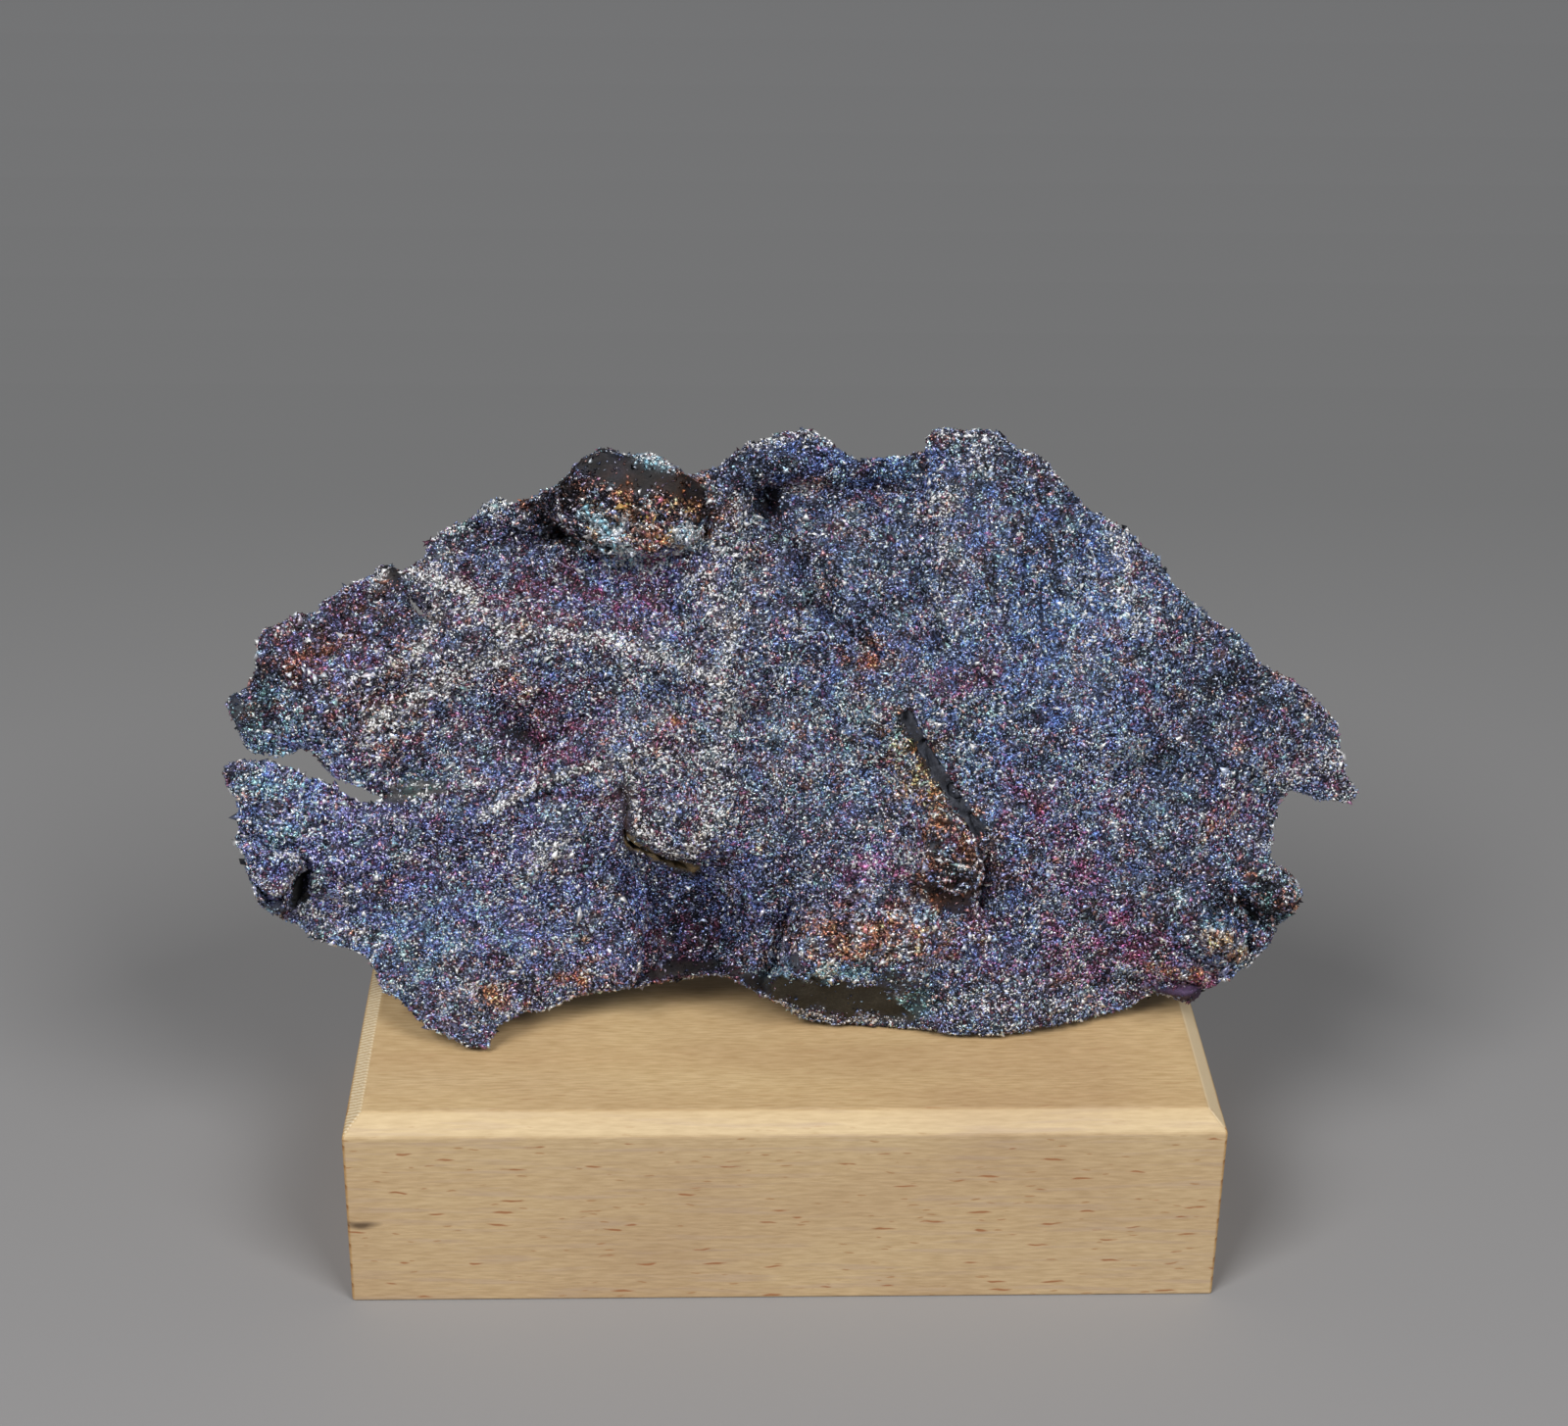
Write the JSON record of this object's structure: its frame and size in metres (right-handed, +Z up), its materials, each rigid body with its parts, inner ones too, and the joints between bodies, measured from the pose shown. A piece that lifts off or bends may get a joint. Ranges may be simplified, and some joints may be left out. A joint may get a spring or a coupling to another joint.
{
  "type": "peacock ore specimen on wooden block",
  "caption": "Crumpled sheet of iridescent peacock ore with folds, ledge, tear and frilled rim, leaning back on a chamfered softwood display block.",
  "frame": {"origin": "centre of the display block's underside", "axes": "+Z up, +X along the block and the ore's length to the right of its face, the ore's face looks along -Y"},
  "size_m": [0.1343, 0.0508, 0.096],
  "materials": {
    "ore": "iridescent sparkling crystal crust, steel blue to violet with gold, magenta and cyan grains",
    "softwood": "bare sanded softwood"
  },
  "bodies": {
    "root": {"peacock_ore": "ore", "display_block": "softwood"}
  },
  "joints": []
}
